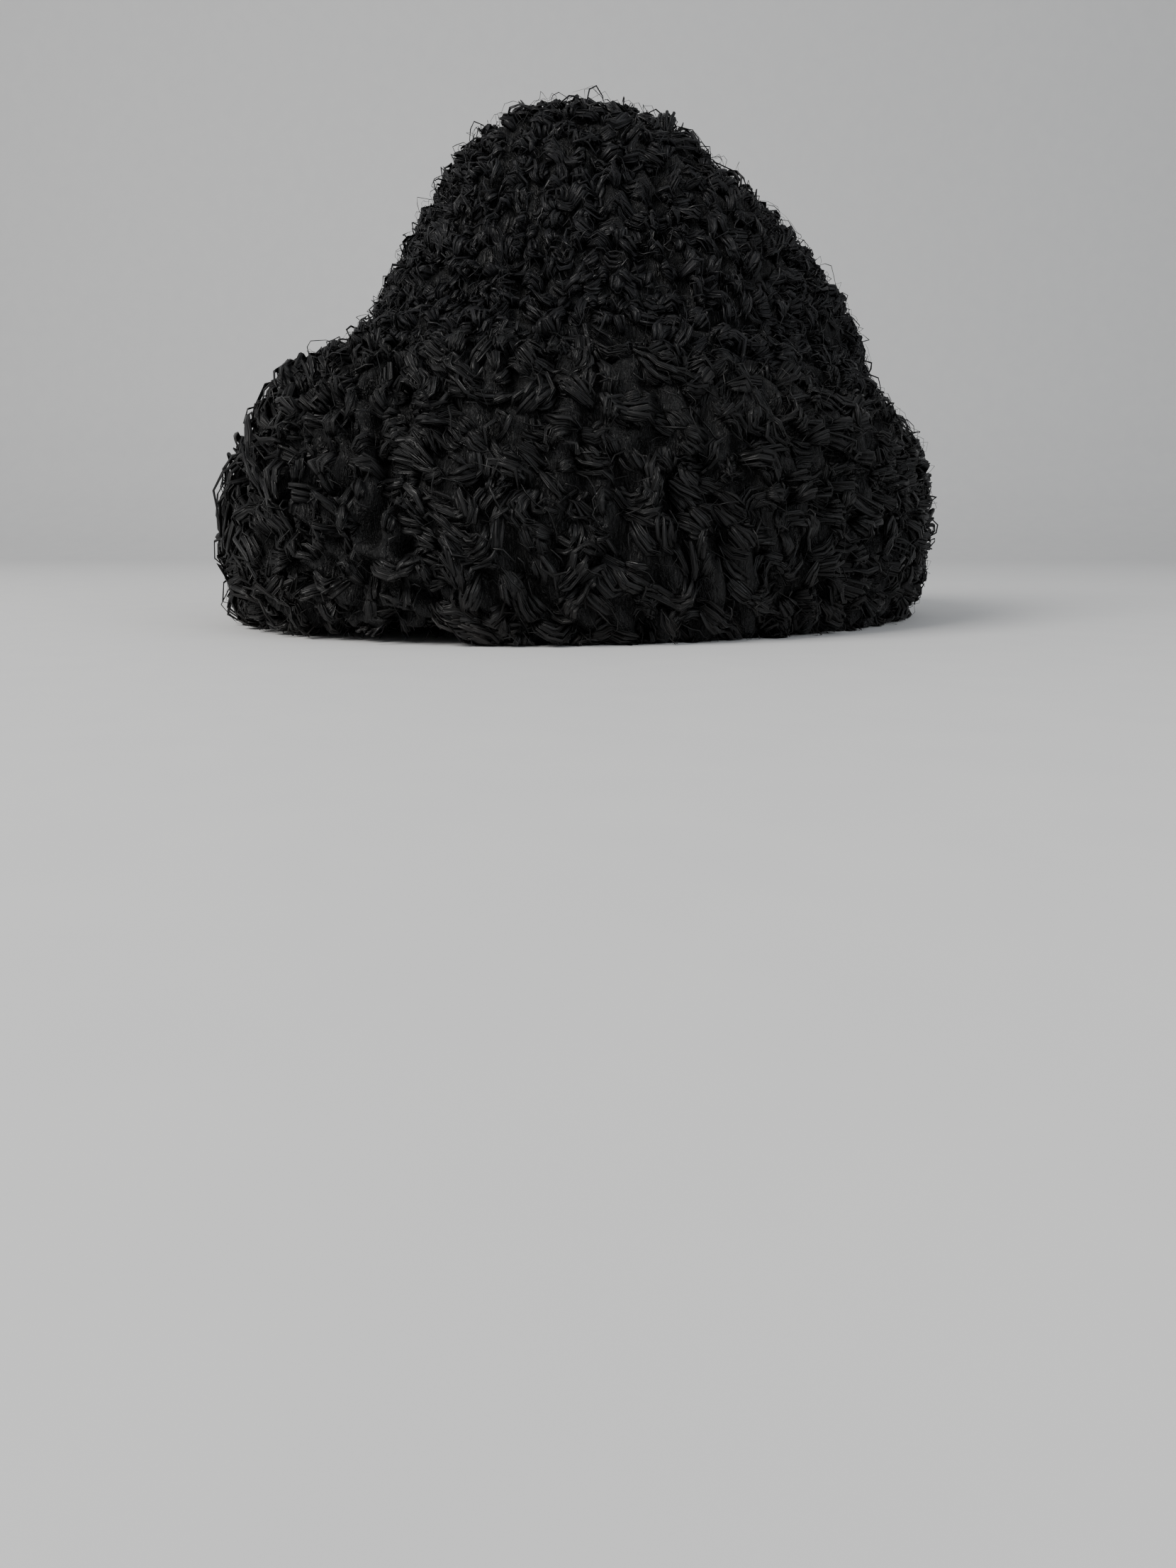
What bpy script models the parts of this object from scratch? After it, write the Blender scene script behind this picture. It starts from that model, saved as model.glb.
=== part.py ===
"""A soft hat of black curled lambskin, with a peaked crown and a deep cuff turned up all round.

Metres, +Z up. The hat rests on its rim at z = 0 and faces -Y, so +X is the wearer's left. Every wall is laid
off from one surface, the skin side of the crown, which is the hollow that the head goes into. A place on that
surface is a turn round the hat, from the front towards the wearer's left, and a station up its sections.
"""

from math import cos, exp, pi, radians, sin, tau

import bmesh
import bpy
from mathutils import Matrix, Vector, noise

# The hollow inside the crown
OPENING_WIDTH = 0.160
OPENING_LENGTH = 0.205
HOLLOW_HEIGHT = 0.147

# Walls, from the skin side out to the feet of the locks, and the gap between neighbouring pieces
CROWN_WALL = 0.008
CUFF_WALL = 0.016
PIECE_GAP = 0.0004

# The cuff's height above the rim, and how far its right pelt is lifted off the table beside the lap
CUFF_HEIGHT_FRONT = 0.071
CUFF_HEIGHT_BACK = 0.058
RIM_LIFT = 0.007
LIFT_REACH = radians(48)
LIFT_BEHIND_LAP = radians(14)

# Where the cuff's two pelts meet. The front lap leans to the wearer's right as it rises
LAP_TURN = radians(26)
LAP_LEAN = radians(20)
BACK_SEAM_TURN = radians(-168)

# The seam between the crown's two pieces, above the cuff's upper edge
SEAM_RISE = 0.014

# Locks of the fur: their height off the wall, and each pelt's own width and length of lock
LOCK_DEPTH = 0.006
RIGHT_LOCK_WIDTH = 0.024
RIGHT_LOCK_LENGTH = 0.019
LEFT_LOCK_WIDTH = 0.015
LEFT_LOCK_LENGTH = 0.030
CROWN_LOCK_WIDTH = 0.026
CROWN_LOCK_LENGTH = 0.018

# Locks, as shares of LOCK_DEPTH: their mean crest, how much they differ, how far their ends fall away and how
# deep their partings sink into the cuff. The sway is a share of a lock's width
LOCK_CREST = 0.85
LOCK_SPREAD = 0.50
LOCK_ROUNDING = 0.70
LOCK_SINK = 0.40
LOCK_SWAY = 0.50

# Shares of the cuff's height over which its locks rise from the rim and fall to the upper edge, and of the
# crown's slant over which they rise from the seam and fall to the peak
RIM_FADE = 0.25
EDGE_FADE = 0.20
SEAM_FADE = 0.20
PEAK_FADE = 0.45
SEAM_THINNING = 0.20

# Sections of the hollow from the rim to the peak, as shares of its height, width and length
HOLLOW_SECTIONS = (
    dict(height=0.00, width=1.00, length=1.00, forward=0.000, left=0.000),
    dict(height=0.15, width=1.02, length=1.01, forward=-0.002, left=0.004),
    dict(height=0.30, width=0.99, length=0.98, forward=-0.010, left=0.014),
    dict(height=0.45, width=0.92, length=0.91, forward=-0.020, left=0.045),
    dict(height=0.60, width=0.81, length=0.79, forward=-0.016, left=0.067),
    dict(height=0.74, width=0.65, length=0.62, forward=0.010, left=0.075),
    dict(height=0.87, width=0.46, length=0.44, forward=0.045, left=0.070),
    dict(height=0.96, width=0.28, length=0.26, forward=0.070, left=0.062),
    dict(height=1.00, width=0.00, length=0.00, forward=0.080, left=0.058),
)
PEAK_STATION = len(HOLLOW_SECTIONS) - 1.0

# The cuff's section from the rim up to its edge, its thickness as a share of CUFF_WALL
CUFF_SECTION = (
    dict(rise=0.00, thick=0.50),
    dict(rise=0.08, thick=0.82),
    dict(rise=0.20, thick=1.02),
    dict(rise=0.40, thick=1.10),
    dict(rise=0.60, thick=1.06),
    dict(rise=0.80, thick=0.94),
    dict(rise=0.93, thick=0.74),
    dict(rise=1.00, thick=0.42),
)

# How full the cuff lies at the front, the wearer's left, the back and the wearer's right
FRONT_FULLNESS = 0.86
LEFT_FULLNESS = 0.92
BACK_FULLNESS = 1.08
RIGHT_FULLNESS = 0.88

# Soft dents in the crown: their turn in degrees, and as shares of the height how high, wide and deep they are
DENTS = (
    dict(turn=112, height=0.91, reach=0.20, depth=0.055),
    dict(turn=-60, height=0.80, reach=0.20, depth=0.022),
    dict(turn=170, height=0.74, reach=0.24, depth=0.020),
    dict(turn=20, height=0.70, reach=0.22, depth=0.015),
)

# Grid columns and rows over one lock, and rows up the smooth sides
RIGHT_LOCK_GRID = (4, 3)
LEFT_LOCK_GRID = (3, 5)
CROWN_LOCK_GRID = (3, 3)
CUFF_SKIN_ROWS = 6
SIDE_HIDDEN_ROWS = 7
SIDE_SKIN_ROWS = 6
TIP_SKIN_ROWS = 5

# The slant of the crown above its seam over its rise there
TIP_SLANT = 1.3

# Where in the noise each pelt's locks are read, and how far apart
RIGHT_SEED = 2.4
LEFT_SEED = 1.5
SIDE_SEED = 3.0
TIP_SEED = 5.0
SIZE_STRIDE = (1.7, 2.3)
SWAY_STRIDE = (0.4, 0.9)

WELD = 1e-6
SMALL_STEP = 0.01
HALVINGS = 40
SETTLE_ROUNDS = 6


def between(rows, place, column):
    """A column of a table at a place counted in rows, read from a smooth curve through the rows."""
    last = len(rows) - 1
    start = min(max(int(place), 0), last - 1)
    share = place - start
    before, low, high, after = (rows[min(max(start + step, 0), last)][column] for step in (-1, 0, 1, 2))
    slope_in = (high - before) / 2
    slope_out = (after - low) / 2
    rise = high - low
    bend = 3 * rise - 2 * slope_in - slope_out
    twist = slope_in + slope_out - 2 * rise
    return low + share * (slope_in + share * (bend + share * twist))


def cuff_thickness(turn, rise):
    """The cuff's thickness without its locks."""
    place = 0
    while CUFF_SECTION[place + 1]["rise"] < rise:
        place += 1
    low, high = CUFF_SECTION[place]["rise"], CUFF_SECTION[place + 1]["rise"]
    section = between(CUFF_SECTION, place + (rise - low) / (high - low), "thick")
    ahead, aside = cos(turn), sin(turn)
    ends = FRONT_FULLNESS if ahead > 0 else BACK_FULLNESS
    sides = LEFT_FULLNESS if aside > 0 else RIGHT_FULLNESS
    return CUFF_WALL * section * (ends * ahead**2 + sides * aside**2)


def station_at(height):
    """The station of the hollow's sections at a height above the rim."""
    low, high = 0.0, PEAK_STATION
    for _ in range(HALVINGS):
        middle = (low + high) / 2
        if between(HOLLOW_SECTIONS, middle, "height") < height / HOLLOW_HEIGHT:
            low = middle
        else:
            high = middle
    return low


def pressed_in(turn, height):
    """How far the dents press the crown in at a turn and a share of the height."""
    depth = 0.0
    for dent in DENTS:
        across = ((turn - radians(dent["turn"]) + pi) % tau - pi) / 2
        away = Vector((across, height - dent["height"])).length
        depth += dent["depth"] * HOLLOW_HEIGHT * exp(-((2 * away / dent["reach"]) ** 2))
    return depth


def hollow(turn, station):
    """A point of the crown's skin side. The dents fade out towards the peak."""
    columns = ("height", "width", "length", "forward", "left")
    height, width, length, forward, left = (between(HOLLOW_SECTIONS, station, column) for column in columns)
    pressed = pressed_in(turn, height) * min(1.0, 2 * width)
    across = max(width * OPENING_WIDTH / 2 - pressed, 0.0)
    deep = max(length * OPENING_LENGTH / 2 - pressed, 0.0)
    x = across * sin(turn) + left * OPENING_WIDTH
    y = -deep * cos(turn) - forward * OPENING_LENGTH
    return Vector((x, y, height * HOLLOW_HEIGHT))


def wall(turn, station, out):
    """A point laid off square from the skin side, and no lower than the table."""
    if station > PEAK_STATION - SMALL_STEP:
        return hollow(turn, PEAK_STATION) + Vector((0, 0, out))
    around = hollow(turn + SMALL_STEP, station) - hollow(turn - SMALL_STEP, station)
    upward = hollow(turn, station + SMALL_STEP) - hollow(turn, max(station - SMALL_STEP, 0.0))
    point = hollow(turn, station) + around.cross(upward).normalized() * out
    point.z = max(point.z, 0.0)
    return point


def lock(around, up, count, seed):
    """The height of a lock, from 0 in the partings to about 1 on its crest, at a place counted in locks."""
    tier = int(up)
    place = around + 0.5 * (tier % 2)
    across = 2 * (place % 1) - 1
    rise = 2 * (up % 1) - 1
    own = Vector((int(place) % count * SIZE_STRIDE[0], tier * SIZE_STRIDE[1], seed))
    size = LOCK_CREST + LOCK_SPREAD * noise.noise(own)
    return size * (1 - across**2) * (1 - LOCK_ROUNDING * rise**2)


def sway(around, up, seed):
    """How far a lock leans sideways, as a share of its width."""
    return LOCK_SWAY * noise.noise(Vector((around * SWAY_STRIDE[0], up * SWAY_STRIDE[1], seed)))


def lift_at(turn, reach):
    """How far a lower edge is lifted off the table at a turn, most of all at the lap."""
    return RIM_LIFT * exp(-(((turn - LAP_TURN) / reach) ** 2))


def cuff_top(turn):
    """The height of the cuff's upper edge."""
    return CUFF_HEIGHT_BACK + (CUFF_HEIGHT_FRONT - CUFF_HEIGHT_BACK) * (1 + cos(turn)) / 2


def sheet(columns, rows, place):
    """A grid of faces whose corners lie where place says, welded where its edges meet."""
    mesh = bmesh.new()
    column_of = mesh.verts.layers.int.new("column")
    row_of = mesh.verts.layers.int.new("row")
    bmesh.ops.create_grid(mesh, x_segments=columns, y_segments=rows, size=1)
    for corner in mesh.verts:
        corner[column_of] = round((corner.co.x + 1) / 2 * columns)
        corner[row_of] = round((corner.co.y + 1) / 2 * rows)
        corner.co = place(corner[column_of], corner[row_of])
    bmesh.ops.remove_doubles(mesh, verts=mesh.verts, dist=WELD)
    return mesh


def close_end(mesh, column, rows, fur_rows):
    """Closes the section at a column with faces from its fur side to its skin side."""
    column_of = mesh.verts.layers.int["column"]
    row_of = mesh.verts.layers.int["row"]
    sides = []
    for edge in mesh.edges:
        low, high = sorted(corner[row_of] % rows for corner in edge.verts)
        at_end = edge.is_boundary and all(corner[column_of] == column for corner in edge.verts)
        if at_end and (high <= fur_rows or low > fur_rows):
            sides.append(edge)
    bmesh.ops.bridge_loops(mesh, edges=sides)


def fur_material(name, colour, roughness):
    material = bpy.data.materials.new(name)
    material.use_nodes = True
    shader = material.node_tree.nodes["Principled BSDF"]
    shader.inputs["Base Color"].default_value = (*colour, 1)
    shader.inputs["Roughness"].default_value = roughness
    shader.inputs["Metallic"].default_value = 0
    material.diffuse_color = (*colour, 1)
    return material


def piece(name, mesh, material):
    """Turns the mesh's faces out and makes it an object."""
    bmesh.ops.recalc_face_normals(mesh, faces=mesh.faces)
    data = bpy.data.meshes.new(name)
    mesh.to_mesh(data)
    mesh.free()
    data.shade_smooth()
    data.set_sharp_from_angle(angle=radians(60))
    data.materials.append(material)
    made = bpy.data.objects.new(name, data)
    bpy.context.scene.collection.objects.link(made)
    return made


def cuff_pelt(name, start, end, lift, lock_width, lock_length, grid, seed, material):
    """One pelt of the cuff: a closed section carried round the crown from one seam to the other.

    Its rows run up the fur side from the rim and back down the skin side. Start, end and lift are functions:
    the turns of its two seams at a height, and its lower edge's height at a turn.
    """
    columns_per_lock, rows_per_lock = grid
    girth = tau * ((OPENING_WIDTH + OPENING_LENGTH) / 4 + CROWN_WALL + CUFF_WALL)
    locks = max(round(girth * (end(0) - start(0)) / tau / lock_width), 2)
    tiers = max(round(CUFF_HEIGHT_FRONT / lock_length), 2)
    columns = locks * columns_per_lock
    fur_rows = tiers * rows_per_lock
    rows = fur_rows + CUFF_SKIN_ROWS + 2
    half_gap = PIECE_GAP / OPENING_WIDTH

    def place(column, row):
        row %= rows
        in_fur = row <= fur_rows
        rise = row / fur_rows if in_fur else 1 - (row - fur_rows - 1) / CUFF_SKIN_ROWS
        around, up = column / columns_per_lock, row / rows_per_lock
        inward = min(1.0, 2 * around, 2 * (locks - around))
        shift = sway(around, up, seed) * inward / locks if in_fur else 0.0
        height = rise * CUFF_HEIGHT_FRONT
        for _ in range(SETTLE_ROUNDS):
            low, high = start(height) + half_gap, end(height) - half_gap
            turn = low + (high - low) * (column / columns + shift)
            foot = lift(turn)
            height = foot + rise * (cuff_top(turn) - foot)
        out = CROWN_WALL + PIECE_GAP
        if in_fur:
            fade = inward * min(1.0, rise / RIM_FADE, (1 - rise) / EDGE_FADE)
            out += cuff_thickness(turn, rise) * (1 - SEAM_THINNING * (1 - inward))
            out += LOCK_DEPTH * fade * (lock(around, up, locks + 1, seed) - LOCK_SINK)
        point = wall(turn, station_at(height), out)
        if rise == 0:
            point.z = foot
        return point

    mesh = sheet(columns, rows, place)
    close_end(mesh, 0, rows, fur_rows)
    close_end(mesh, columns, rows, fur_rows)
    return piece(name, mesh, material)


def front_lap(height):
    return LAP_TURN - LAP_LEAN * height / CUFF_HEIGHT_FRONT


def cuff_right(material):
    """The pelt from the back seam round the wearer's right to the front lap, lifted beside the lap."""

    def back_seam(height):
        return BACK_SEAM_TURN

    def lift(turn):
        return lift_at(turn, LIFT_REACH)

    locks = (RIGHT_LOCK_WIDTH, RIGHT_LOCK_LENGTH, RIGHT_LOCK_GRID, RIGHT_SEED)
    return cuff_pelt("cuff_right", back_seam, front_lap, lift, *locks, material)


def cuff_left(material):
    """The pelt from the front lap round the wearer's left to the back seam, flat on the table."""

    def back_seam(height):
        return BACK_SEAM_TURN + tau

    def lift(turn):
        return 0.0

    locks = (LEFT_LOCK_WIDTH, LEFT_LOCK_LENGTH, LEFT_LOCK_GRID, LEFT_SEED)
    return cuff_pelt("cuff_left", front_lap, back_seam, lift, *locks, material)


def crown_locks():
    """How many locks stand round the crown."""
    girth = tau * ((OPENING_WIDTH + OPENING_LENGTH) / 4 + CROWN_WALL)
    return max(round(girth / CROWN_LOCK_WIDTH), 4)


def crown_columns():
    return crown_locks() * CROWN_LOCK_GRID[0]


def crown_turn(column):
    """The turn of a column of the crown's grid, from -pi to pi."""
    return (tau * (column % crown_columns()) / crown_columns() + pi) % tau - pi


def crown_lock(column, up, seed):
    """The height of the crown's fur over its wall."""
    around = column % crown_columns() / CROWN_LOCK_GRID[0]
    return LOCK_DEPTH * lock(around, up, crown_locks(), seed)


def crown_side(material):
    """The wall between the rim and the crown's seam: smooth behind the cuff, in locks above it."""
    fur_rows = CROWN_LOCK_GRID[1]
    outer_rows = SIDE_HIDDEN_ROWS + fur_rows
    rows = outer_rows + SIDE_SKIN_ROWS + 2

    def place(column, row):
        row %= rows
        turn = crown_turn(column)
        foot = 2 * PIECE_GAP + lift_at(turn, LIFT_REACH if turn < LAP_TURN else LIFT_BEHIND_LAP)
        edge = cuff_top(turn)
        if row > outer_rows:
            seam = edge + SEAM_RISE
            height = seam - (seam - foot) * (row - outer_rows - 1) / SIDE_SKIN_ROWS
            return wall(turn, station_at(height), 0.0)
        if row <= SIDE_HIDDEN_ROWS:
            return wall(turn, station_at(foot + (edge - foot) * row / SIDE_HIDDEN_ROWS), CROWN_WALL)
        share = (row - SIDE_HIDDEN_ROWS) / fur_rows
        fur = min(1.0, fur_rows * (1 - share)) * crown_lock(column, share + 1, SIDE_SEED)
        return wall(turn, station_at(edge + SEAM_RISE * share), CROWN_WALL + fur)

    return piece("crown_side", sheet(crown_columns(), rows, place), material)


def crown_tip(material):
    """The peaked top above the seam: a dome of fur over a smooth dome of skin."""
    slant = TIP_SLANT * (HOLLOW_HEIGHT - CUFF_HEIGHT_FRONT - SEAM_RISE)
    tiers = max(round(slant / CROWN_LOCK_LENGTH), 2)
    fur_rows = tiers * CROWN_LOCK_GRID[1]

    def place(column, row):
        turn = crown_turn(column)
        foot = station_at(cuff_top(turn) + SEAM_RISE + PIECE_GAP)
        if row <= TIP_SKIN_ROWS:
            return wall(turn, PEAK_STATION + (foot - PEAK_STATION) * row / TIP_SKIN_ROWS, 0.0)
        share = 1 - (row - TIP_SKIN_ROWS - 1) / fur_rows
        fade = min(1.0, (1 - share) / SEAM_FADE, share / PEAK_FADE)
        fur = fade * crown_lock(column, share * tiers, TIP_SEED)
        return wall(turn, PEAK_STATION + (foot - PEAK_STATION) * share, CROWN_WALL + fur)

    return piece("crown_tip", sheet(crown_columns(), fur_rows + TIP_SKIN_ROWS + 1, place), material)


def centre(pieces):
    """Moves the pieces together until their common box stands centred over the origin."""
    corners = [corner.co for made in pieces for corner in made.data.vertices]
    low = Vector([min(place) for place in zip(*corners)])
    high = Vector([max(place) for place in zip(*corners)])
    middle = (low + high) / 2
    for made in pieces:
        made.data.transform(Matrix.Translation((-middle.x, -middle.y, 0)))


def build_hat():
    for old in list(bpy.data.objects):
        bpy.data.objects.remove(old)
    pieces = [
        crown_side(fur_material("crown_side_fur", (0.014, 0.014, 0.015), 0.60)),
        crown_tip(fur_material("crown_tip_fur", (0.016, 0.016, 0.018), 0.60)),
        cuff_right(fur_material("cuff_right_fur", (0.013, 0.013, 0.014), 0.55)),
        cuff_left(fur_material("cuff_left_fur", (0.013, 0.013, 0.013), 0.55)),
    ]
    centre(pieces)


build_hat()
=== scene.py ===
from math import atan2, cos, pi, radians, sin, tau

import bmesh
import bpy
import numpy as np
from mathutils import Matrix, Vector


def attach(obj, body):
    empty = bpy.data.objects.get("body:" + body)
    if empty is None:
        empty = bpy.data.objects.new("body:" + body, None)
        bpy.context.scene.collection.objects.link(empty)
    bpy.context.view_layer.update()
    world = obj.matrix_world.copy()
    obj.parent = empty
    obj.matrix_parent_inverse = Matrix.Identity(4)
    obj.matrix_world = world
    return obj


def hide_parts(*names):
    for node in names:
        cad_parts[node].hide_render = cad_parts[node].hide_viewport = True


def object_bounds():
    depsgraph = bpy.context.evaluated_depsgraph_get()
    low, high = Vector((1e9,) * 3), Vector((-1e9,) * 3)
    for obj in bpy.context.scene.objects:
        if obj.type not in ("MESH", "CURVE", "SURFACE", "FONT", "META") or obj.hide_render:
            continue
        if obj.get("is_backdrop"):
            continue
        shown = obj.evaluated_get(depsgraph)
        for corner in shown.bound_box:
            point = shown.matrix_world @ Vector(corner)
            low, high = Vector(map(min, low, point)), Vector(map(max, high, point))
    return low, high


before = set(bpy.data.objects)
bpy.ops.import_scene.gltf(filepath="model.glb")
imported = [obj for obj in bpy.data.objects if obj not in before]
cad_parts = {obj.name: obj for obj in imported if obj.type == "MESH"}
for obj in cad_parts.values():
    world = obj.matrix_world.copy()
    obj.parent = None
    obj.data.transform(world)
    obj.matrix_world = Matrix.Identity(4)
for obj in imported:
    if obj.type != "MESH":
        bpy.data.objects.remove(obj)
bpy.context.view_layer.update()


# Crown side. The side wall is a band of black curled lambskin, skin side in and fur out. It is sewn into a
# ring and to the tip above it. The cuff hides it up to the seam, where curls stand out all round.

OPENING_WIDTH = 0.160
OPENING_LENGTH = 0.205
HOLLOW_HEIGHT = 0.147
CROWN_WALL = 0.008
PIECE_GAP = 0.0004
CUFF_HEIGHT_FRONT = 0.071
CUFF_HEIGHT_BACK = 0.058
RIM_LIFT = 0.007
LIFT_REACH = radians(48)
LIFT_BEHIND_LAP = radians(14)
LAP_TURN = radians(26)
SEAM_RISE = 0.014
BOX_MIDDLE = Vector((0.0014, 0.0031, 0.0))

HOLLOW_SECTIONS = (
    dict(height=0.00, width=1.00, length=1.00, forward=0.000, left=0.000),
    dict(height=0.15, width=1.02, length=1.01, forward=-0.002, left=0.004),
    dict(height=0.30, width=0.99, length=0.98, forward=-0.010, left=0.014),
    dict(height=0.45, width=0.92, length=0.91, forward=-0.020, left=0.045),
    dict(height=0.60, width=0.81, length=0.79, forward=-0.016, left=0.067),
    dict(height=0.74, width=0.65, length=0.62, forward=0.010, left=0.075),
    dict(height=0.87, width=0.46, length=0.44, forward=0.045, left=0.070),
    dict(height=0.96, width=0.28, length=0.26, forward=0.070, left=0.062),
    dict(height=1.00, width=0.00, length=0.00, forward=0.080, left=0.058),
)
DENTS = (
    dict(turn=112, height=0.91, reach=0.20, depth=0.055),
    dict(turn=-60, height=0.80, reach=0.20, depth=0.022),
    dict(turn=170, height=0.74, reach=0.24, depth=0.020),
    dict(turn=20, height=0.70, reach=0.22, depth=0.015),
)


def between(rows, place, column):
    """A column of a table at places counted in rows, read from a smooth curve through the rows."""
    values = np.array([row[column] for row in rows], float)
    last = len(rows) - 1
    start = np.clip(np.floor(place).astype(int), 0, last - 1)
    share = place - start
    before, low, high, after = (values[np.clip(start + step, 0, last)] for step in (-1, 0, 1, 2))
    slope_in, slope_out, rise = (high - before) / 2, (after - low) / 2, high - low
    bend, twist = 3 * rise - 2 * slope_in - slope_out, slope_in + slope_out - 2 * rise
    return low + share * (slope_in + share * (bend + share * twist))


def station_at(height):
    """The station of the hollow's sections at heights above the rim."""
    stations = np.linspace(0, len(HOLLOW_SECTIONS) - 1, 4001)
    return np.interp(height / HOLLOW_HEIGHT, between(HOLLOW_SECTIONS, stations, "height"), stations)


def hollow(turn, station):
    """Points of the crown's skin side."""
    columns = ("height", "width", "length", "forward", "left")
    height, width, length, forward, left = (between(HOLLOW_SECTIONS, station, name) for name in columns)
    pressed = np.zeros_like(turn + station)
    for dent in DENTS:
        across = ((turn - radians(dent["turn"]) + pi) % tau - pi) / 2
        away = np.hypot(across, height - dent["height"])
        pressed += dent["depth"] * HOLLOW_HEIGHT * np.exp(-((2 * away / dent["reach"]) ** 2))
    pressed *= np.minimum(1.0, 2 * width)
    across = np.maximum(width * OPENING_WIDTH / 2 - pressed, 0)
    deep = np.maximum(length * OPENING_LENGTH / 2 - pressed, 0)
    x = across * np.sin(turn) + left * OPENING_WIDTH - BOX_MIDDLE.x
    y = -deep * np.cos(turn) - forward * OPENING_LENGTH - BOX_MIDDLE.y
    return np.stack(np.broadcast_arrays(x, y, height * HOLLOW_HEIGHT), axis=-1)


def unit(vectors):
    return vectors / np.maximum(np.linalg.norm(vectors, axis=-1, keepdims=True), 1e-12)


def wall(turn, station, out):
    """Points laid off square from the skin side."""
    step, peak = 0.01, len(HOLLOW_SECTIONS) - 1.0
    station = np.minimum(station, peak - 2 * step)
    around = hollow(turn + step, station) - hollow(turn - step, station)
    upward = hollow(turn, station + step) - hollow(turn, np.maximum(station - step, 0))
    return hollow(turn, station) + unit(np.cross(around, upward)) * out[..., None]


def cuff_top(turn):
    return CUFF_HEIGHT_BACK + (CUFF_HEIGHT_FRONT - CUFF_HEIGHT_BACK) * (1 + np.cos(turn)) / 2


def lift_at(turn, reach):
    return RIM_LIFT * np.exp(-(((turn - LAP_TURN) / reach) ** 2))


def noise_field(shape, step, size, seed):
    """Smooth random values of about -1 to 1 over a grid, with hills of a given size."""
    spectrum = np.fft.rfft2(np.random.default_rng(seed).standard_normal(shape))
    rise = np.fft.fftfreq(shape[0], step)[:, None]
    run = np.fft.rfftfreq(shape[1], step)[None]
    field = np.fft.irfft2(spectrum * np.exp(-((np.hypot(rise, run) * size * 1.5) ** 2)), s=shape)
    return field / (2 * field.std())


def ridges(shape, step, spacing, lean, strict, seed):
    """Winding ridges of curled fur over a grid, from -1 in the partings to 1 on the crests.

    Each round keeps only waves of about the spacing, most of all those across the lean, and steepens them.
    """
    field = np.random.default_rng(seed).standard_normal(shape)
    rise = np.fft.fftfreq(shape[0], step)[:, None]
    run = np.fft.fftfreq(shape[1], step)[None]
    radius, heading = np.hypot(rise, run), np.arctan2(rise, run)
    ring = np.exp(-(((radius * spacing - 1) / 0.34) ** 2))
    ways = 8
    for _ in range(6):
        spectrum = np.fft.fft2(field)
        total = 0
        for way in range(ways):
            angle = pi * way / ways
            fan = np.exp(-((np.sin(heading - angle) / 0.30) ** 2))
            favour = np.exp(-strict * np.sin(lean - angle) ** 2)
            total = total + favour * np.fft.ifft2(spectrum * ring * fan).real
        field = np.tanh(1.3 * total / total.std())
    return field


class Fur:
    """One pelt's fur side, laid out flat: places and outward directions on a grid of even steps."""

    def __init__(self, places, step, wraps=False):
        self.places, self.step, self.wraps = places, step, wraps
        up, along = np.gradient(places, axis=(0, 1))
        if wraps:
            along = np.roll(places, -1, axis=1) - np.roll(places, 1, axis=1)
        self.out = unit(np.cross(along, up))
        self.along = unit(along)
        self.up = np.cross(self.out, self.along)
        self.rows, self.columns = places.shape[:2]

    def read(self, grid, row, column):
        """Values of a grid at places between its steps."""
        row = np.clip(row, 0, self.rows - 1.001)
        column = column % self.columns if self.wraps else np.clip(column, 0, self.columns - 1.001)
        low_row, low_column = np.floor(row).astype(int), np.floor(column).astype(int)
        next_column = (low_column + 1) % self.columns
        high_row = np.minimum(low_row + 1, self.rows - 1)
        up, along = row - low_row, column - low_column
        if grid.ndim == 3:
            up, along = up[..., None], along[..., None]
        low = grid[low_row, low_column] * (1 - along) + grid[low_row, next_column] * along
        high = grid[high_row, low_column] * (1 - along) + grid[high_row, next_column] * along
        return low * (1 - up) + high * up


def across_ridges(field, smooth=14):
    """The way square across the nearest ridge, as a complex number at twice its angle on the grid."""
    up, along = np.gradient(field)
    spectrum = np.fft.fft2((along + 1j * up) ** 2)
    rise, run = np.fft.fftfreq(field.shape[0])[:, None], np.fft.fftfreq(field.shape[1])[None]
    way = np.fft.ifft2(spectrum * np.exp(-((np.hypot(rise, run) * smooth) ** 2)))
    return way / np.maximum(abs(way), 1e-9)


def scattered(fur, apart, seed, keep=None):
    """Places for curls, as rows and columns, evenly scattered over a pelt. Keep is a grid of chances."""
    rng = np.random.default_rng(seed)
    stride = apart / fur.step
    rows, columns = np.mgrid[0 : fur.rows / stride, 0 : fur.columns / stride]
    places = np.stack([rows.ravel(), (columns + 0.5 * (rows % 2)).ravel()], axis=1) + 0.5
    places = (places + rng.uniform(-0.42, 0.42, places.shape)) * stride
    inside = (places[:, 0] > 0) & (places[:, 0] < fur.rows - 1)
    inside &= fur.wraps | ((places[:, 1] > 0) & (places[:, 1] < fur.columns - 1))
    places = places[inside]
    if keep is not None:
        places = places[rng.random(len(places)) < fur.read(keep, places[:, 0], places[:, 1])]
    return places


SECTION = ((0.0, 1.0), (-0.87, -0.5), (0.87, -0.5))


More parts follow.
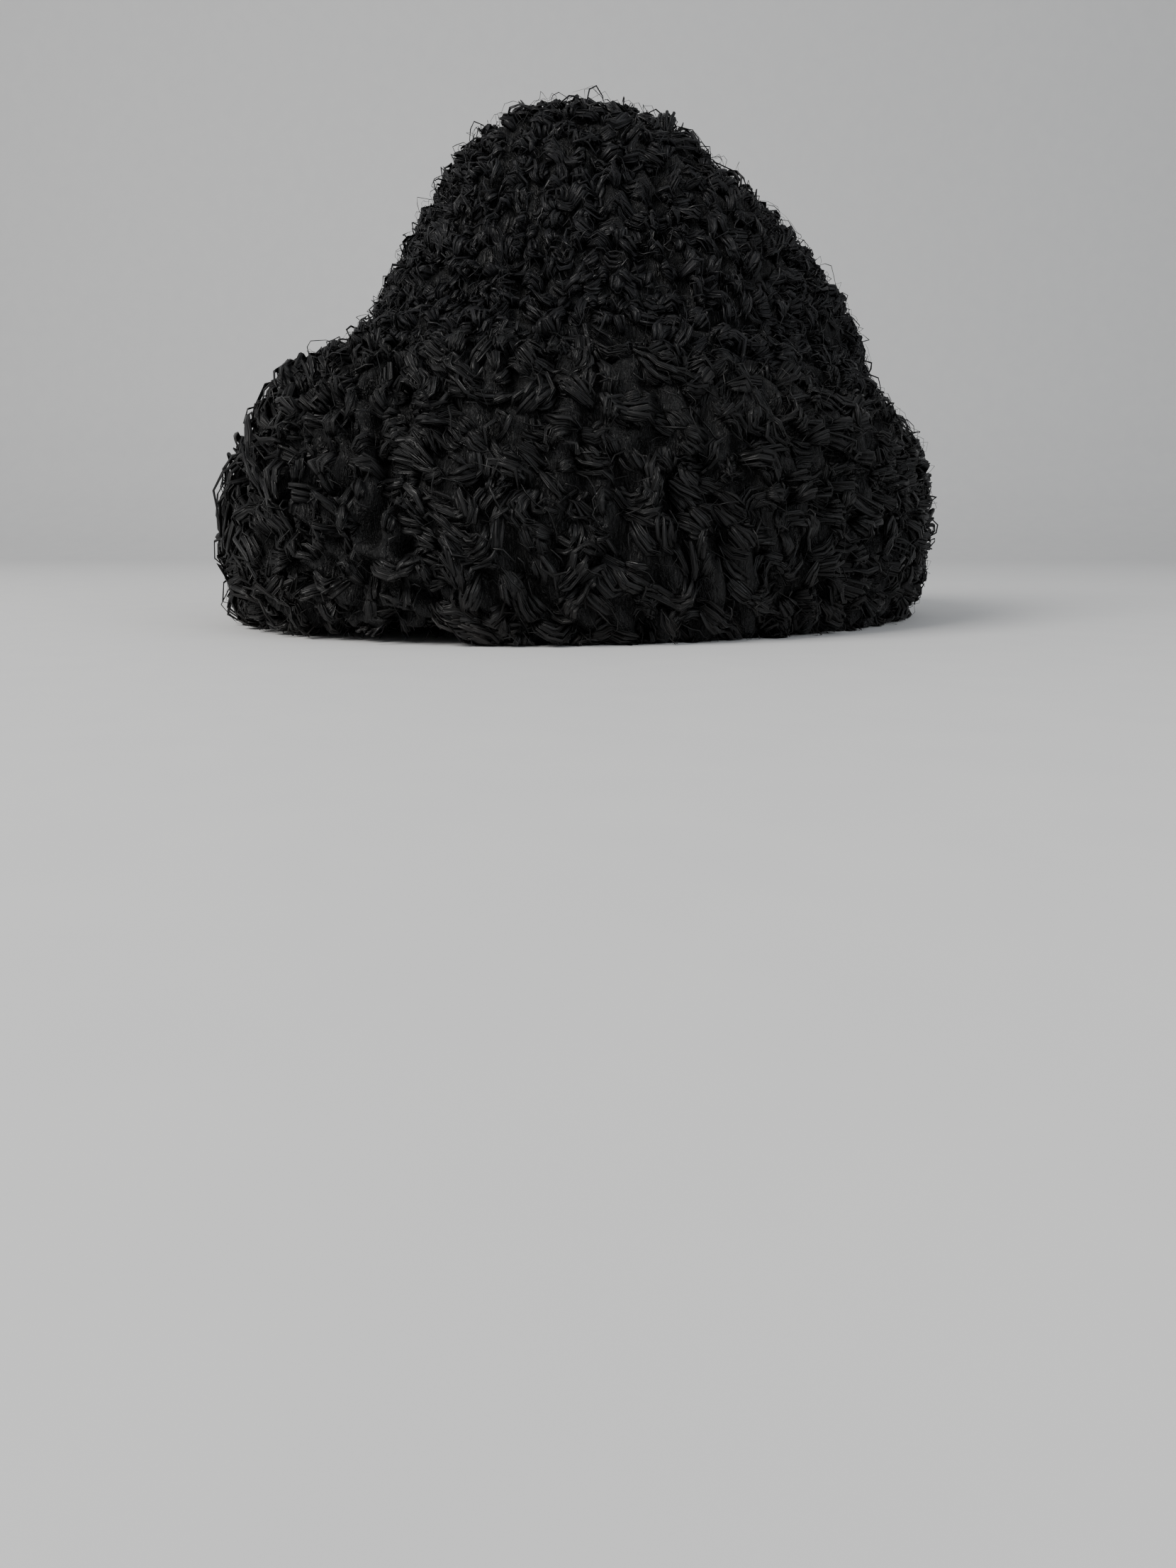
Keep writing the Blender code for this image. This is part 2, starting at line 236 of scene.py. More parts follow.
def curls(name, fur, height, flow, seeds, seed, way, bend, length, width, start, end,
          across=0.0, dip=0.0, tilt=0.0, flat=0.5, rings=5, sink=0.0004, sway=0.0):
    """Locks of hair as one joined mesh, each a closed tapering strip that rises and rolls over.

    A lock follows the pelt's flow, with its own turn away from it (way) and its own bend. Start and end are
    how steeply its root rises and its tip dives. Across and dip are how far it lies beside and below its
    tuft's middle, and tilt how far it leans to that side. It carries where each corner lies across and along
    it, for the hairs drawn on it, and a random tone of its own that is painted darker in the partings as
    painted shade.
    """
    rng = np.random.default_rng(seed)
    count, sides = len(seeds), len(SECTION)
    way, bend, length, width, start, end, across, dip, tilt = (
        np.broadcast_to(value, count)[:, None]
        for value in (way, bend, length, width, start, end, across, dip, tilt)
    )
    share = np.linspace(0, 1, rings + 2)[None]
    row, column, rise = seeds[:, :1], seeds[:, 1:], np.zeros((count, 1))
    back = np.angle(fur.read(flow, row, column)) + way - bend / 3
    row = row - np.sin(back) * 0.3 * length / fur.step
    column = column - np.cos(back) * 0.3 * length / fur.step
    path, facing = [(row, column, rise)], []
    for step in range(rings + 1):
        halfway = (step + 0.5) / (rings + 1)
        steep = start + (end - start) * halfway
        facing.append(np.angle(fur.read(flow, row, column)) + way + bend * (halfway - 0.5))
        stride = length / (rings + 1)
        row = row + np.sin(facing[-1]) * np.cos(steep) * stride / fur.step
        column = column + np.cos(facing[-1]) * np.cos(steep) * stride / fur.step
        rise = rise + np.sin(steep) * stride
        path.append((row, column, rise))
    rows, columns, rise = (np.concatenate(part, axis=1) for part in zip(*path))
    facing = np.concatenate([*facing, facing[-1]], axis=1)
    phases, waves = rng.uniform(0, tau, (3, count, 1)), rng.uniform(0.8, 1.8, (3, count, 1))
    swing = [sway * share * np.sin(tau * wave * share + phase) for wave, phase in zip(waves, phases)]
    rows, columns, rise = rows + swing[0] / fur.step, columns + swing[1] / fur.step, rise + swing[2]
    over_row = rows - np.clip(rows, 0, fur.rows - 1)
    over_column = (columns - np.clip(columns, 0, fur.columns - 1)) * (not fur.wraps)
    over_row, over_column = (0.004 * np.tanh(over * fur.step / 0.004) for over in (over_row, over_column))
    grids = (fur.out, fur.along, fur.up, fur.places)
    out, along, up, place = (fur.read(grid, rows, columns) for grid in grids)
    level = fur.read(height, rows, columns) + rise - sink
    middle = place + out * level[..., None] + up * over_row[..., None] + along * over_column[..., None]
    ahead = unit(np.gradient(middle, axis=1))
    beside = along * np.sin(facing)[..., None] - up * np.cos(facing)[..., None]
    beside = unit(beside - ahead * (beside * ahead).sum(-1, keepdims=True))
    upward = np.cross(beside, ahead)
    swell = np.sin(pi * (0.07 + 0.89 * share)) ** 0.65
    middle = middle + beside * (across * swell)[..., None] - upward * (dip * swell)[..., None]
    roll = rng.uniform(-0.3, 0.3, (count, 1, 1)) - tilt[..., None]
    leaning = beside * np.cos(roll) + upward * np.sin(roll)
    beside, upward = leaning, upward * np.cos(roll) - beside * np.sin(roll)
    half = width / 2 * swell
    rounds = []
    for side, rise in SECTION:
        side = side * rng.uniform(0.8, 1.15, (count, 1))
        rise = rise * flat * rng.uniform(0.55, 1.4, (count, 1))
        rounds.append(middle + (beside * side[..., None] + upward * rise[..., None]) * half[..., None])
    rounds = np.stack(rounds, axis=2)
    points = np.concatenate([middle[:, [0, -1]], rounds[:, 1:-1].reshape(count, -1, 3)], axis=1)
    points[..., 2] = (points[..., 2] + np.hypot(points[..., 2], 0.0012)) / 2
    faces = []
    for side in range(sides):
        other = (side + 1) % sides
        faces.append((0, 2 + other, 2 + side))
        for low in range(2, 2 + sides * (rings - 1), sides):
            faces.append((low + side, low + other, low + sides + other))
            faces.append((low + side, low + sides + other, low + sides + side))
        last = 2 + sides * (rings - 1)
        faces.append((last + side, last + other, 1))
    per = points.shape[1]
    every = (np.array(faces)[None] + per * np.arange(count)[:, None, None]).reshape(-1, 3)
    mesh = bpy.data.meshes.new(name)
    mesh.vertices.add(count * per)
    mesh.vertices.foreach_set("co", points.astype(np.float32).ravel())
    mesh.loops.add(every.size)
    mesh.loops.foreach_set("vertex_index", every.astype(np.int32).ravel())
    mesh.polygons.add(len(every))
    mesh.polygons.foreach_set("loop_start", np.arange(0, every.size, 3, dtype=np.int32))
    mesh.update(calc_edges=True)
    lies = np.zeros((count, per, 3))
    lies[:, 2:, 0] = np.tile([side for side, _ in SECTION], rings) * width / 2 + across
    lies[:, 2:, 1] = np.repeat(share[:, 1:-1], sides, axis=1) * length
    lies[:, 1, 1] = length[:, 0]
    # Painted shade: a lock's random tone is scaled down the lower its root sits, darkest in the partings.
    crest = (fur.read(height, seeds[:, :1], seeds[:, 1:]) - height.min()) / (height.max() - height.min())
    lies[..., 2] = rng.uniform(0, 1, (count, 1)) * (0.2 + 0.8 * crest)
    layer = mesh.attributes.new("lies", "FLOAT_VECTOR", "POINT")
    layer.data.foreach_set("vector", lies.astype(np.float32).ravel())
    mesh.shade_smooth()
    made = bpy.data.objects.new(name, mesh)
    bpy.context.scene.collection.objects.link(made)
    return made


def tufts(name, fur, height, flow, seeds, seed, way, bend, length, width, start, end, strips, rings=4):
    """Tufts of locks that lie side by side, roll over together and draw in to one tip."""
    rng = np.random.default_rng(seed)
    count = len(seeds)
    number = np.rint(strips * width / np.mean(width) + rng.uniform(-0.5, 0.5, count)).astype(int)
    number = np.maximum(number, 2)
    which = np.repeat(np.arange(count), number)
    order = np.arange(len(which)) - np.repeat(np.cumsum(number) - number, number)
    total = len(which)
    side = 2 * (order + 0.5) / number[which] - 1 + rng.normal(0, 0.07, total)
    across = side * width[which] * 0.42
    return curls(
        name, fur, height, flow, seeds[which], seed + 1,
        way=way[which] + rng.normal(0, 0.07, total),
        bend=bend[which] + 0.2 * side + rng.normal(0, 0.15, total),
        length=length[which] * rng.uniform(0.82, 1.10, total),
        width=2.1 * width[which] / number[which] * rng.uniform(0.6, 1.2, total),
        start=start[which] + rng.normal(0, 0.10, total),
        end=end[which] + rng.normal(0, 0.2, total),
        across=across, dip=0.45 * side**2 * width[which] * 0.5, tilt=np.arctan(0.9 * side),
        flat=0.30, rings=rings,
    )


def closed_body(name, points, inside, depth, wraps, rows_close=True):
    """A pelt as one closed body from rows of points: up the fur side and down the skin side."""
    rows, columns = points.shape[:2]
    row_spans = rows if rows_close else rows - 1
    column_spans = columns if wraps else columns - 1
    mesh = bmesh.new()
    bmesh.ops.create_grid(mesh, x_segments=column_spans, y_segments=row_spans, size=1)
    data = bpy.data.meshes.new(name)
    mesh.to_mesh(data)
    mesh.free()
    flat = np.empty(len(data.vertices) * 3, np.float32)
    data.vertices.foreach_get("co", flat)
    flat = flat.reshape(-1, 3)
    column = np.rint((flat[:, 0] + 1) / 2 * column_spans).astype(int) % columns
    row = np.rint((flat[:, 1] + 1) / 2 * row_spans).astype(int) % rows
    placed = points[row, column]
    placed[:, 2] = np.maximum(placed[:, 2], 0.0001)
    data.vertices.foreach_set("co", placed.astype(np.float32).ravel())
    for label, values in (("skin", inside), ("depth", depth)):
        layer = data.attributes.new(label, "FLOAT", "POINT")
        layer.data.foreach_set("value", values[row, column].astype(np.float32))
    mesh = bmesh.new()
    mesh.from_mesh(data)
    bmesh.ops.remove_doubles(mesh, verts=mesh.verts, dist=1e-6)
    bmesh.ops.holes_fill(mesh, edges=[edge for edge in mesh.edges if edge.is_boundary], sides=0)
    bmesh.ops.recalc_face_normals(mesh, faces=mesh.faces)
    mesh.to_mesh(data)
    mesh.free()
    data.shade_smooth()
    made = bpy.data.objects.new(name, data)
    bpy.context.scene.collection.objects.link(made)
    return made


class Value:
    """A socket of a material's nodes that can be added, multiplied and compared like a number."""

    def __init__(self, nodes, socket):
        self.nodes, self.socket = nodes, socket

    def maths(self, operation, *others, first=None):
        values = [self.socket if first is None else first]
        values += [other.socket if isinstance(other, Value) else other for other in others]
        return self.nodes.add("ShaderNodeMath", dict(operation=operation), *values)

    def __add__(self, other):
        return self.maths("ADD", other)

    def __mul__(self, other):
        return self.maths("MULTIPLY", other)

    def __sub__(self, other):
        return self.maths("SUBTRACT", other)

    def __rsub__(self, other):
        return self.maths("SUBTRACT", self, first=other)

    def __pow__(self, other):
        return self.maths("POWER", other)

    __radd__, __rmul__ = __add__, __mul__


class Nodes:
    """One material and the nodes that make its colour, gloss and bump."""

    def __init__(self, name):
        self.material = bpy.data.materials.new(name)
        self.material.use_nodes = True
        self.tree = self.material.node_tree
        self.shader = self.tree.nodes["Principled BSDF"]

    def add(self, kind, settings=None, *values, out=0, **named):
        """A node of a kind, with its settings made first, then the values or links of its sockets."""
        node = self.tree.nodes.new(kind)
        for key, value in (settings or {}).items():
            if key == "stops":
                ramp = node.color_ramp.elements
                while len(ramp) < len(value):
                    ramp.new(0.5)
                for stop, (position, colour) in zip(ramp, value):
                    stop.position, stop.color = position, (*colour, 1)
            else:
                setattr(node, key, value)
        sockets = list(enumerate(values)) + [(key.replace("_", " "), value) for key, value in named.items()]
        for key, value in sockets:
            self.set(node.inputs[key], value)
        return Value(self, node.outputs[out])

    def set(self, socket, value):
        value = value.socket if isinstance(value, Value) else value
        if isinstance(value, bpy.types.NodeSocket):
            self.tree.links.new(value, socket)
        else:
            socket.default_value = (*value, 1) if socket.type == "RGBA" else value

    def blend(self, share, one, other):
        """A colour between two others."""
        node = self.tree.nodes.new("ShaderNodeMix")
        node.data_type = "RGBA"
        for socket, value in ((0, share), (6, one), (7, other)):
            self.set(node.inputs[socket], value)
        return Value(self, node.outputs[2])

    def feed(self, **named):
        for key, value in named.items():
            self.set(self.shader.inputs[key.replace("_", " ")], value)


def fur_material(name, dark, light, low, gloss):
    """Black lamb's wool with fine hairs along each lock, browner (low) near the rim, and each lock's own
    tone painted darker in the partings as painted shade.
    """
    nodes = Nodes(name)
    where = nodes.add("ShaderNodeTexCoord", out="Object")
    height = nodes.add("ShaderNodeSeparateXYZ", {}, where, out="Z")
    lies = nodes.add("ShaderNodeAttribute", dict(attribute_name="lies"), out="Vector")
    own = nodes.add("ShaderNodeSeparateXYZ", {}, lies, out="Z")
    along = nodes.add("ShaderNodeVectorMath", dict(operation="MULTIPLY"), lies, (1500.0, 45.0, 300.0))
    hairs = nodes.add("ShaderNodeTexNoise", {}, Vector=along, Scale=1.0, Detail=2.0, Roughness=0.6)
    patch = nodes.add("ShaderNodeTexNoise", {}, Vector=where, Scale=38.0, Detail=2.0)
    # Painted shade: own is each lock's random tone, painted darker for locks rooted in the partings.
    share = own * 0.35 + patch * 0.15 + hairs * 0.75
    black = nodes.add("ShaderNodeValToRGB", dict(stops=((0.44, dark), (0.80, light))), share)
    worn = nodes.add("ShaderNodeClamp", {}, (0.022 - height) * 30.0 * own)
    nodes.feed(
        Base_Color=nodes.blend(worn, black, low),
        Roughness=gloss + hairs * 0.15 + own * 0.12,
        Specular_IOR_Level=0.28,
        Normal=nodes.add("ShaderNodeBump", {}, Strength=1.0, Distance=0.0022, Height=hairs),
    )
    return nodes.material


def under_fur_material(name, dark, light, skin):
    """The pelt under its locks: black wool outside, and the smooth napped skin side where skin is 1. The
    wool is painted darker in the partings of its ridges, where depth is low, as painted shade.
    """
    nodes = Nodes(name)
    where = nodes.add("ShaderNodeTexCoord", out="Object")
    inside = nodes.add("ShaderNodeAttribute", dict(attribute_name="skin"), out="Fac")
    depth = nodes.add("ShaderNodeAttribute", dict(attribute_name="depth"), out="Fac")
    strands = nodes.add("ShaderNodeVectorMath", dict(operation="MULTIPLY"), where, (900.0, 900.0, 260.0))
    fine = nodes.add("ShaderNodeTexNoise", {}, Vector=strands, Scale=1.0, Detail=3.0, Distortion=1.5)
    nap = nodes.add("ShaderNodeTexNoise", {}, Vector=where, Scale=120.0, Detail=5.0)
    # Painted shade: the wool runs from dark in the partings (low depth) to light on the crests.
    wool = nodes.add("ShaderNodeValToRGB", dict(stops=((0.1, dark), (1.0, light))), depth * 0.7 + fine * 0.3)
    worn = tuple(part * 0.75 for part in skin)
    suede = nodes.add("ShaderNodeValToRGB", dict(stops=((0.3, worn), (0.75, skin))), nap)
    relief = fine * (1.2 - inside) + nap * inside
    nodes.feed(
        Base_Color=nodes.blend(inside, wool, suede),
        Roughness=0.34 + inside * 0.5 + fine * 0.15,
        Specular_IOR_Level=0.25,
        Normal=nodes.add("ShaderNodeBump", {}, Strength=0.9, Distance=0.0020, Height=relief),
    )
    return nodes.material


def over_ridges(field, step, slant, seed):
    """A flow square across the ridges, slanted a little here and there."""
    way = np.angle(across_ridges(field)) / 2
    way = np.where(np.cos(way) < 0, way + pi, way)
    return np.exp(1j * (way + slant * noise_field(field.shape, step, 0.012, seed)))


def swirls(shape, step, size, seed):
    """A flow that winds round many middles and leaves none bare."""
    up, along = np.gradient(noise_field(shape, step, size, seed))
    flow = 1j * along - up
    return flow / abs(flow).std()


def stray_hairs(name, fur, height, apart, seed, keep=None):
    """Thin curly hairs that stand off the locks."""
    seeds = scattered(fur, apart, seed, keep)
    rng = np.random.default_rng(seed + 1)
    count = len(seeds)
    still = np.ones(height.shape, complex)
    return curls(
        name, fur, height, still, seeds, seed + 2,
        way=rng.uniform(0, tau, count),
        bend=rng.normal(0, 2.4, count),
        length=rng.uniform(0.006, 0.012, count),
        width=0.00016 + 0.0006 * rng.random(count) ** 2.5,
        start=rng.uniform(0.9, 1.7, count),
        end=-rng.uniform(0.8, 3.4, count),
        flat=0.8, rings=4, sink=-0.0010, sway=0.0010,
    )


def dress(piece, material, slot, *nodes):
    """Gives a piece its material, and ties it to the hat."""
    piece.data.materials.append(material)
    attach(piece, "root")
    if nodes:
        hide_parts(*nodes)


STEP = 0.0014
SIDE_CURL = 0.0085
SIDE_RELIEF = 0.0022
SIDE_APART = 0.0046
HIDDEN_FUR = 0.012
UNDER = 0.0012
ROUND_CRESTS = 0.7

turns = np.arange(round(tau * 0.095 / STEP)) * tau / round(tau * 0.095 / STEP) - pi
share = np.linspace(0, 1, round((SEAM_RISE + HIDDEN_FUR) * 1.25 / STEP))[:, None]
edge = cuff_top(turns)[None]
side_height = edge - HIDDEN_FUR + (SEAM_RISE + HIDDEN_FUR) * share
bulge = 0.0035 * np.sin(pi * np.clip(share * 1.06 - 0.05, 0, 1)) ** 0.6 * np.clip(share * 2, 0, 1)
side_places = wall(turns[None], station_at(side_height), CROWN_WALL + bulge + 0 * turns[None])
side_fur = Fur(side_places, STEP, wraps=True)
side_field = ridges((side_fur.rows, side_fur.columns), STEP, SIDE_CURL, pi / 2, 2.0, 11)
side_relief = SIDE_RELIEF * (((side_field + 1) / 2) ** ROUND_CRESTS - 0.2) * np.clip(8 * (1 - share), 0, 1)
lifted = np.where(turns < LAP_TURN, lift_at(turns, LIFT_REACH), lift_at(turns, LIFT_BEHIND_LAP))
foot, seam = 2 * PIECE_GAP + lifted, cuff_top(turns) + SEAM_RISE
skin_side = [
    wall(turns, station_at(seam - (seam - foot) * down), 0 * turns) for down in np.linspace(0, 1, 12)
]
behind_cuff = [
    wall(turns, station_at(foot + (cuff_top(turns) - HIDDEN_FUR - foot) * up), CROWN_WALL + 0 * turns)
    for up in np.linspace(0, 1, 6)[:-1]
]
side_skin = np.concatenate([np.stack(skin_side), np.stack(behind_cuff)])
side_under = side_fur.places + side_fur.out * (side_relief - UNDER)[..., None]
side_points = np.concatenate([side_under, side_skin])
side_inside = np.concatenate([np.zeros(side_field.shape), np.ones(side_skin.shape[:2])])
side_depth = np.concatenate([(side_field + 1) / 2, np.ones(side_skin.shape[:2])])

SKIN = (0.030, 0.027, 0.025)
# The under-fur is black wool, painted darker than the locks so that it reads as painted shade in the gaps
# between them.
pelt_wool_and_painted_shade = under_fur_material("under_fur", (0.006, 0.006, 0.006), (0.012, 0.012, 0.0125), SKIN)
crown_wool_and_parting_shade = fur_material(
    "crown_wool_and_parting_shade", (0.0120, 0.0120, 0.0130), (0.0165, 0.0165, 0.0188), (0.010, 0.009, 0.009), 0.26
)

crown_side = closed_body("crown_side_pelt", side_points, side_inside, side_depth, True)
dress(crown_side, pelt_wool_and_painted_shade, "crown_side_fur", "crown_side")
side_seen = np.clip(2 * share + 0 * turns[None], 0, 1)
side_seeds = scattered(side_fur, SIDE_APART, 12, side_seen)
rng = np.random.default_rng(13)
count = len(side_seeds)
side_flow = over_ridges(side_field, STEP, 1.0, 15) + 0.9 * swirls(side_field.shape, STEP, 0.008, 17)
side_curls = tufts(
    "crown_side_curls", side_fur, side_relief, side_flow, side_seeds, 14,
    way=rng.normal(0, 0.35, count),
    bend=rng.normal(0, 0.8, count),
    length=rng.uniform(0.009, 0.014, count),
    width=rng.uniform(0.0040, 0.0070, count),
    start=rng.uniform(0.8, 1.4, count),
    end=-rng.uniform(1.2, 2.2, count),
    strips=6.2,
)
dress(side_curls, crown_wool_and_parting_shade, "crown_side_fur")
side_hairs = stray_hairs("crown_side_hairs", side_fur, side_relief, 0.0044, 16, side_seen)
dress(side_hairs, crown_wool_and_parting_shade, "crown_side_fur")


# Crown tip. The peaked top is one pelt gathered to a soft point. Its wool is in small fluffy curls that turn
# to upright rows on the wearer's left. It is sewn to the side wall along the seam just above the cuff.

TIP_REACH = 0.105
TIP_RELIEF = 0.0036
TIP_APART = 0.0052
PEAK = len(HOLLOW_SECTIONS) - 1.0

plane = np.arange(-round(1.04 * TIP_REACH / STEP), round(1.04 * TIP_REACH / STEP) + 1) * STEP
across_plane, up_plane = np.meshgrid(plane, plane)
tip_turn = np.arctan2(across_plane, -up_plane)
tip_share = np.minimum(np.hypot(across_plane, up_plane) / TIP_REACH, 1.03)


def station_down(turn, share):
    """The station at a share of the way down from the peak to the seam, in stations."""
    return PEAK + (station_at(cuff_top(turn) + SEAM_RISE + PIECE_GAP) - PEAK) * share


def tip_station(turn, share):
    """The station at a share of the way down from the peak, walked in even steps over the crown."""
    return station_down(turn, np.interp(share, walked_shares, station_shares))


station_shares = np.linspace(0, 1.05, 400)
spread = np.linspace(-pi, pi, 17)[:-1, None]
downward = wall(spread, station_down(spread, station_shares[None]), CROWN_WALL + 0 * spread * station_shares)
steps = np.linalg.norm(np.diff(downward, axis=1), axis=2).mean(axis=0)
walked_shares = np.concatenate([[0], np.cumsum(steps)])
walked_shares = walked_shares / np.interp(1, station_shares, walked_shares)
tip_fur = Fur(wall(tip_turn, tip_station(tip_turn, tip_share), CROWN_WALL + 0 * tip_turn), STEP)
small = ridges(across_plane.shape, STEP, 0.0080, 0 * tip_turn, 0.0, 21)
upright = ridges(across_plane.shape, STEP, 0.0088, np.arctan2(across_plane, -up_plane), 2.5, 22)
border = 0.3 * noise_field(tip_turn.shape, STEP, 0.02, 23)
rowed = np.clip(0.5 + 1.2 * np.sin(tip_turn) * tip_share + border, 0, 1)
tip_field = small * (1 - rowed) + upright * rowed
tip_relief = TIP_RELIEF * (((tip_field + 1) / 2) ** ROUND_CRESTS - 0.38)
tip_relief = tip_relief * np.clip(12 * (1 - tip_share), 0, 1)

DOME_STEP = 0.0018
columns = round(tau * 0.075 / DOME_STEP)
spokes = np.arange(columns) * tau / columns - pi
rings = np.linspace(1, 0, round(0.09 / DOME_STEP))[:, None]
tip_row = (-np.cos(spokes)[None] * rings * TIP_REACH - plane[0]) / STEP
tip_column = (np.sin(spokes)[None] * rings * TIP_REACH - plane[0]) / STEP
dome = tip_fur.read(tip_fur.places, tip_row, tip_column)
dome_raised = tip_fur.read(tip_relief, tip_row, tip_column) - UNDER
dome = dome + tip_fur.read(tip_fur.out, tip_row, tip_column) * dome_raised[..., None]
dome[-1] = dome[-1].mean(axis=0)
inner_shares = np.linspace(0, 1, 14)[:, None]
inner = wall(spokes[None], tip_station(spokes[None], inner_shares), 0 * inner_shares * spokes[None])
inner[0] = inner[0].mean(axis=0)
tip_points = np.concatenate([inner, dome])
tip_inside = np.concatenate([np.ones(inner.shape[:2]), np.zeros(dome.shape[:2])])
dome_depth = (tip_fur.read(tip_field, tip_row, tip_column) + 1) / 2
tip_depth = np.concatenate([np.ones(inner.shape[:2]), dome_depth])
crown_tip = closed_body("crown_tip_pelt", tip_points, tip_inside, tip_depth, True, rows_close=False)
dress(crown_tip, pelt_wool_and_painted_shade, "crown_tip_fur", "crown_tip")

tip_seen = (tip_share < 1.0).astype(float)
tip_seeds = scattered(tip_fur, TIP_APART, 24, tip_seen)
rng = np.random.default_rng(25)
count = len(tip_seeds)
fluffy = 1.6 * swirls(tip_field.shape, STEP, 0.0075, 27)
tip_flow = over_ridges(tip_field, STEP, 1.0, 26) * rowed + fluffy * (1 - 0.75 * rowed)
tip_curls = tufts(
    "crown_tip_curls", tip_fur, tip_relief, tip_flow, tip_seeds, 28,
    way=rng.normal(0, 0.4, count),
    bend=rng.normal(0, 1.0, count),
    length=rng.uniform(0.0085, 0.0135, count),
    width=rng.uniform(0.0036, 0.0068, count),
    start=rng.uniform(0.9, 1.5, count),
    end=-rng.uniform(1.3, 2.4, count),
    strips=6.2,
)
dress(tip_curls, crown_wool_and_parting_shade, "crown_tip_fur")
tip_hairs = stray_hairs("crown_tip_hairs", tip_fur, tip_relief, 0.0040, 29, tip_seen)
dress(tip_hairs, crown_wool_and_parting_shade, "crown_tip_fur")


# Cuff, right pelt. The cuff is turned up from the rim and is thick with wool on its outside. Its right pelt
# runs from the back seam round the wearer's right to the front lap, in large flat whorls with long strands.

CUFF_WALL = 0.016
LAP_LEAN = radians(20)
BACK_SEAM_TURN = radians(-168)
SEAM_THINNING = 0.20
CUFF_PATH = (
    dict(rise=0.000, thick=0.00),
    dict(rise=0.000, thick=0.30),
    dict(rise=0.012, thick=0.60),
    dict(rise=0.080, thick=0.84),
    dict(rise=0.200, thick=1.02),
    dict(rise=0.400, thick=1.10),
    dict(rise=0.600, thick=1.06),
    dict(rise=0.800, thick=0.94),
    dict(rise=0.930, thick=0.73),
    dict(rise=1.000, thick=0.42),
    dict(rise=1.010, thick=0.14),
    dict(rise=0.985, thick=0.00),
)
FULLNESS = dict(front=0.86, left=0.92, back=1.08, right=0.88)


def even_path(step):
    """The cuff's section walked from the skin side round the rim and up to the edge, in even steps."""
    fine = np.linspace(0, len(CUFF_PATH) - 1, 3000)
    rise, thick = between(CUFF_PATH, fine, "rise"), between(CUFF_PATH, fine, "thick")
    strides = np.hypot(np.diff(rise) * CUFF_HEIGHT_FRONT, np.diff(thick) * CUFF_WALL)
    walked = np.concatenate([[0], np.cumsum(strides)])
    even = np.linspace(0, walked[-1], round(walked[-1] / step))
    return np.interp(even, walked, rise), np.interp(even, walked, thick)


def front_lap(height):
    return LAP_TURN - LAP_LEAN * height / CUFF_HEIGHT_FRONT


def cuff_places(rise, thick, start, end, lift, columns):
    """Points of the cuff's outside or skin side between two seams, for rows of rise and thickness."""
    rise, thick = rise[:, None], thick[:, None]
    along = np.linspace(0, 1, columns)[None]
    height = rise * CUFF_HEIGHT_FRONT + 0 * along
    half_gap = PIECE_GAP / OPENING_WIDTH
    for _ in range(6):
        low, high = start(height) + half_gap, end(height) - half_gap
        turn = low + (high - low) * along
        foot = lift(turn)
        height = foot + rise * (cuff_top(turn) - foot)
    ends = np.where(np.cos(turn) > 0, FULLNESS["front"], FULLNESS["back"]) * np.cos(turn) ** 2
    sides = np.where(np.sin(turn) > 0, FULLNESS["left"], FULLNESS["right"]) * np.sin(turn) ** 2
    inward = np.minimum(1, np.minimum(along, 1 - along) * 0.41 / 0.010)
    full = CUFF_WALL * (ends + sides) * (1 - SEAM_THINNING * (1 - inward))
    return wall(turn, station_at(np.maximum(height, 0)), CROWN_WALL + PIECE_GAP + full * thick), turn


def cuff_pelt(side, start, end, lift, fields, relief, inner_rows=10):
    """One pelt of the cuff as a closed body, with its fur side laid out for the locks."""
    rise, thick = even_path(STEP)
    girth = 0.098 * tau * (end(0) - start(0)) / tau + 0.02
    columns = round(girth / STEP)
    places, turn = cuff_places(rise, thick, start, end, lift, columns)
    places[..., 2] = np.maximum(places[..., 2], 0)
    fur = Fur(places, STEP)
    field = fields(fur, turn)
    raised = relief(fur, turn) * (((field + 1) / 2) ** ROUND_CRESTS - 0.42)
    reach = np.arange(fur.rows)[:, None] * STEP
    raised = raised * np.clip((reach - 0.004) / 0.006, 0, 1) * np.clip((reach[::-1] - 0.002) / 0.004, 0, 1)
    down = np.linspace(0.97, 0.02, inner_rows)
    skin, _ = cuff_places(down, 0 * down, start, end, lift, columns)
    lowered = UNDER * np.clip((reach - 0.004) / 0.006, 0, 1)
    points = np.concatenate([fur.places + fur.out * (raised - lowered)[..., None], skin])
    inside = np.concatenate([np.zeros(field.shape), np.ones(skin.shape[:2])])
    depth = np.concatenate([(field + 1) / 2, np.ones(skin.shape[:2])])
    body = closed_body(f"cuff_{side}_pelt", points, inside, depth, False)
    return body, fur, field, raised, turn


RIGHT_RELIEF = 0.0060


def near_front(turn):
    """How far a place on the right pelt is from the sweeps at the side (0) to the tight front curls (1)."""
    return np.clip((turn - radians(-26)) / radians(30), 0, 1)


def lobes(fur, turn):
    large = ridges(turn.shape, STEP, 0.0160, 0 * turn, 0.0, 31)
    small = ridges(turn.shape, STEP, 0.0085, 0 * turn, 0.0, 32)
    return large + (small - large) * near_front(turn)


